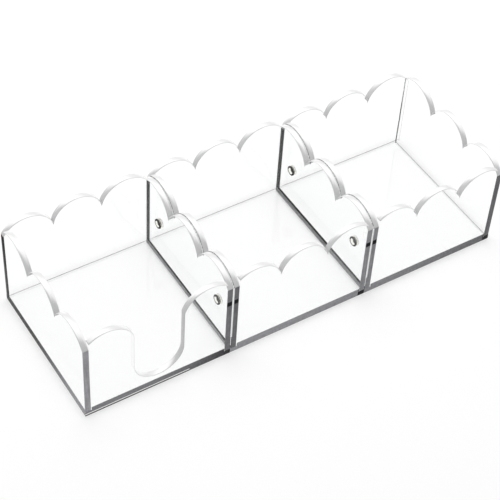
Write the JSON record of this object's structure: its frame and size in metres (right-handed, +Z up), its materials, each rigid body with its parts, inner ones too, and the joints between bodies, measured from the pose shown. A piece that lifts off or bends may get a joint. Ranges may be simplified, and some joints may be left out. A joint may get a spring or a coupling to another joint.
{
  "type": "acrylic desk organizer",
  "caption": "Row of open clear acrylic trays with scalloped walls and a finger cut-out for a note stack, held side to side by magnets; for desk supplies.",
  "frame": {"origin": "centre of the row's underside, on the surface that it stands on", "axes": "+Z up; +X along the row, from the note tray to the last tray; the finger cut-out is in the wall that faces -Y"},
  "size_m": [0.2676, 0.095, 0.061],
  "materials": {
    "clear_acrylic": "clear cast acrylic sheet, laser cut, with polished edges",
    "nickel_plate": "nickel-plated disc magnet"
  },
  "bodies": {
    "middle_tray": {"middle_tray_base": "clear_acrylic", "middle_tray_front_wall": "clear_acrylic", "middle_tray_back_wall": "clear_acrylic", "middle_tray_left_wall": "clear_acrylic", "middle_tray_right_wall": "clear_acrylic", "middle_tray_left_front_magnet": "nickel_plate", "middle_tray_left_rear_magnet": "nickel_plate", "middle_tray_right_front_magnet": "nickel_plate", "middle_tray_right_rear_magnet": "nickel_plate"},
    "left_tray": {"left_tray_base": "clear_acrylic", "left_tray_front_wall": "clear_acrylic", "left_tray_back_wall": "clear_acrylic", "left_tray_left_wall": "clear_acrylic", "left_tray_right_wall": "clear_acrylic", "left_tray_right_front_magnet": "nickel_plate", "left_tray_right_rear_magnet": "nickel_plate"},
    "right_tray": {"right_tray_base": "clear_acrylic", "right_tray_front_wall": "clear_acrylic", "right_tray_back_wall": "clear_acrylic", "right_tray_left_wall": "clear_acrylic", "right_tray_right_wall": "clear_acrylic", "right_tray_left_front_magnet": "nickel_plate", "right_tray_left_rear_magnet": "nickel_plate"}
  },
  "joints": [
    {"name": "left_tray_pull_off", "type": "slide", "parent": "middle_tray", "child": "left_tray", "axis": [-1, 0, 0], "range_m": [0, 0.04]},
    {"name": "right_tray_pull_off", "type": "slide", "parent": "middle_tray", "child": "right_tray", "axis": [1, 0, 0], "range_m": [0, 0.04]}
  ]
}
